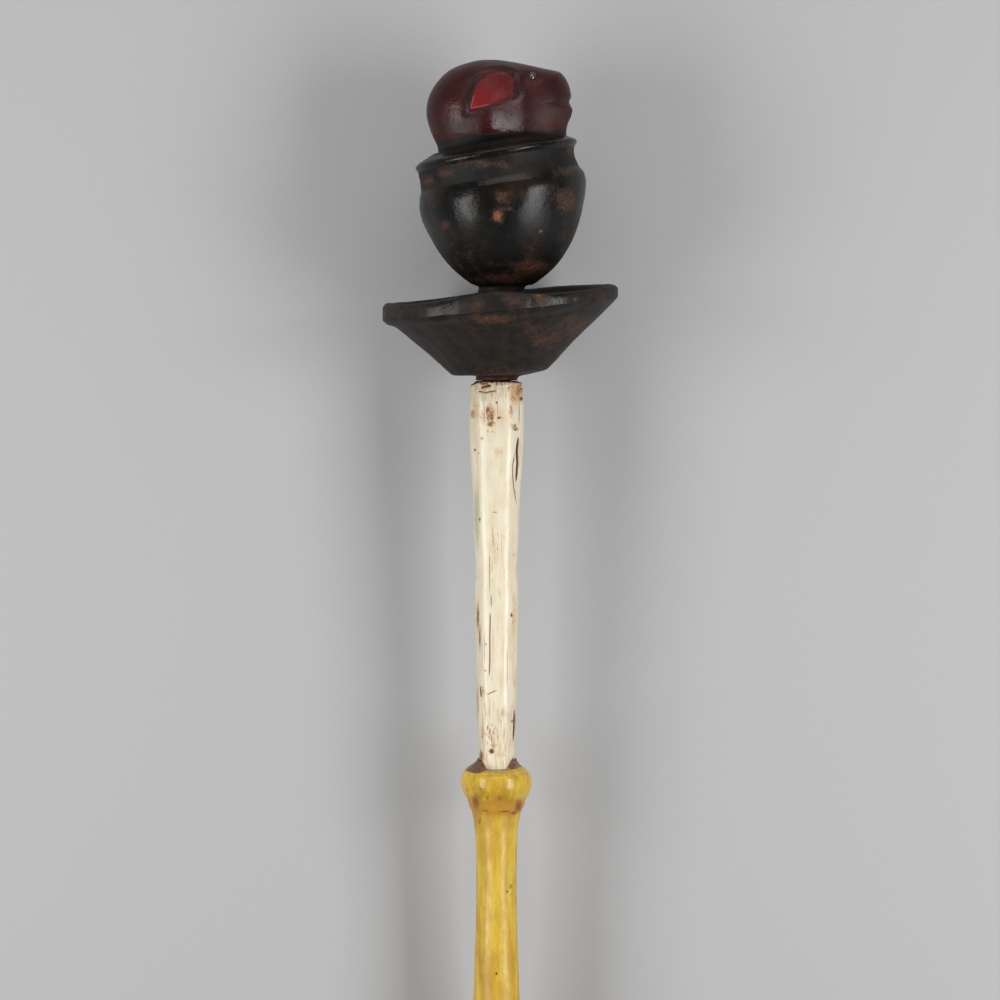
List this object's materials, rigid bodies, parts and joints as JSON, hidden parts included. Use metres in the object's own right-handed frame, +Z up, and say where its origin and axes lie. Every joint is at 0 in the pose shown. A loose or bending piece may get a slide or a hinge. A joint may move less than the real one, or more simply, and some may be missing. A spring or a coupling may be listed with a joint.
{
  "type": "linguist staff",
  "caption": "Painted wooden staff: an animal's head rising from a black pot over a shallow dish, on a white shaft and a yellow shaft.",
  "frame": {"origin": "centre of the footprint of the lying staff, on the surface that it lies on", "axes": "+Y along the staff towards the head, +Z up, away from the surface that the staff lies on, +X to the side that the animal's muzzle points to"},
  "size_m": [0.1528, 1.4976, 0.1516],
  "materials": {
    "finial_paint": "black paint over wood, worn satin, with a maroon-brown head and red ears",
    "white_paint": "off-white paint, satin, chipped and stained",
    "yellow_paint": "yellow paint, satin, rubbed at the edges"
  },
  "bodies": {
    "root": {"finial": "finial_paint", "upper_shaft": "white_paint", "lower_shaft": "yellow_paint"}
  },
  "joints": []
}
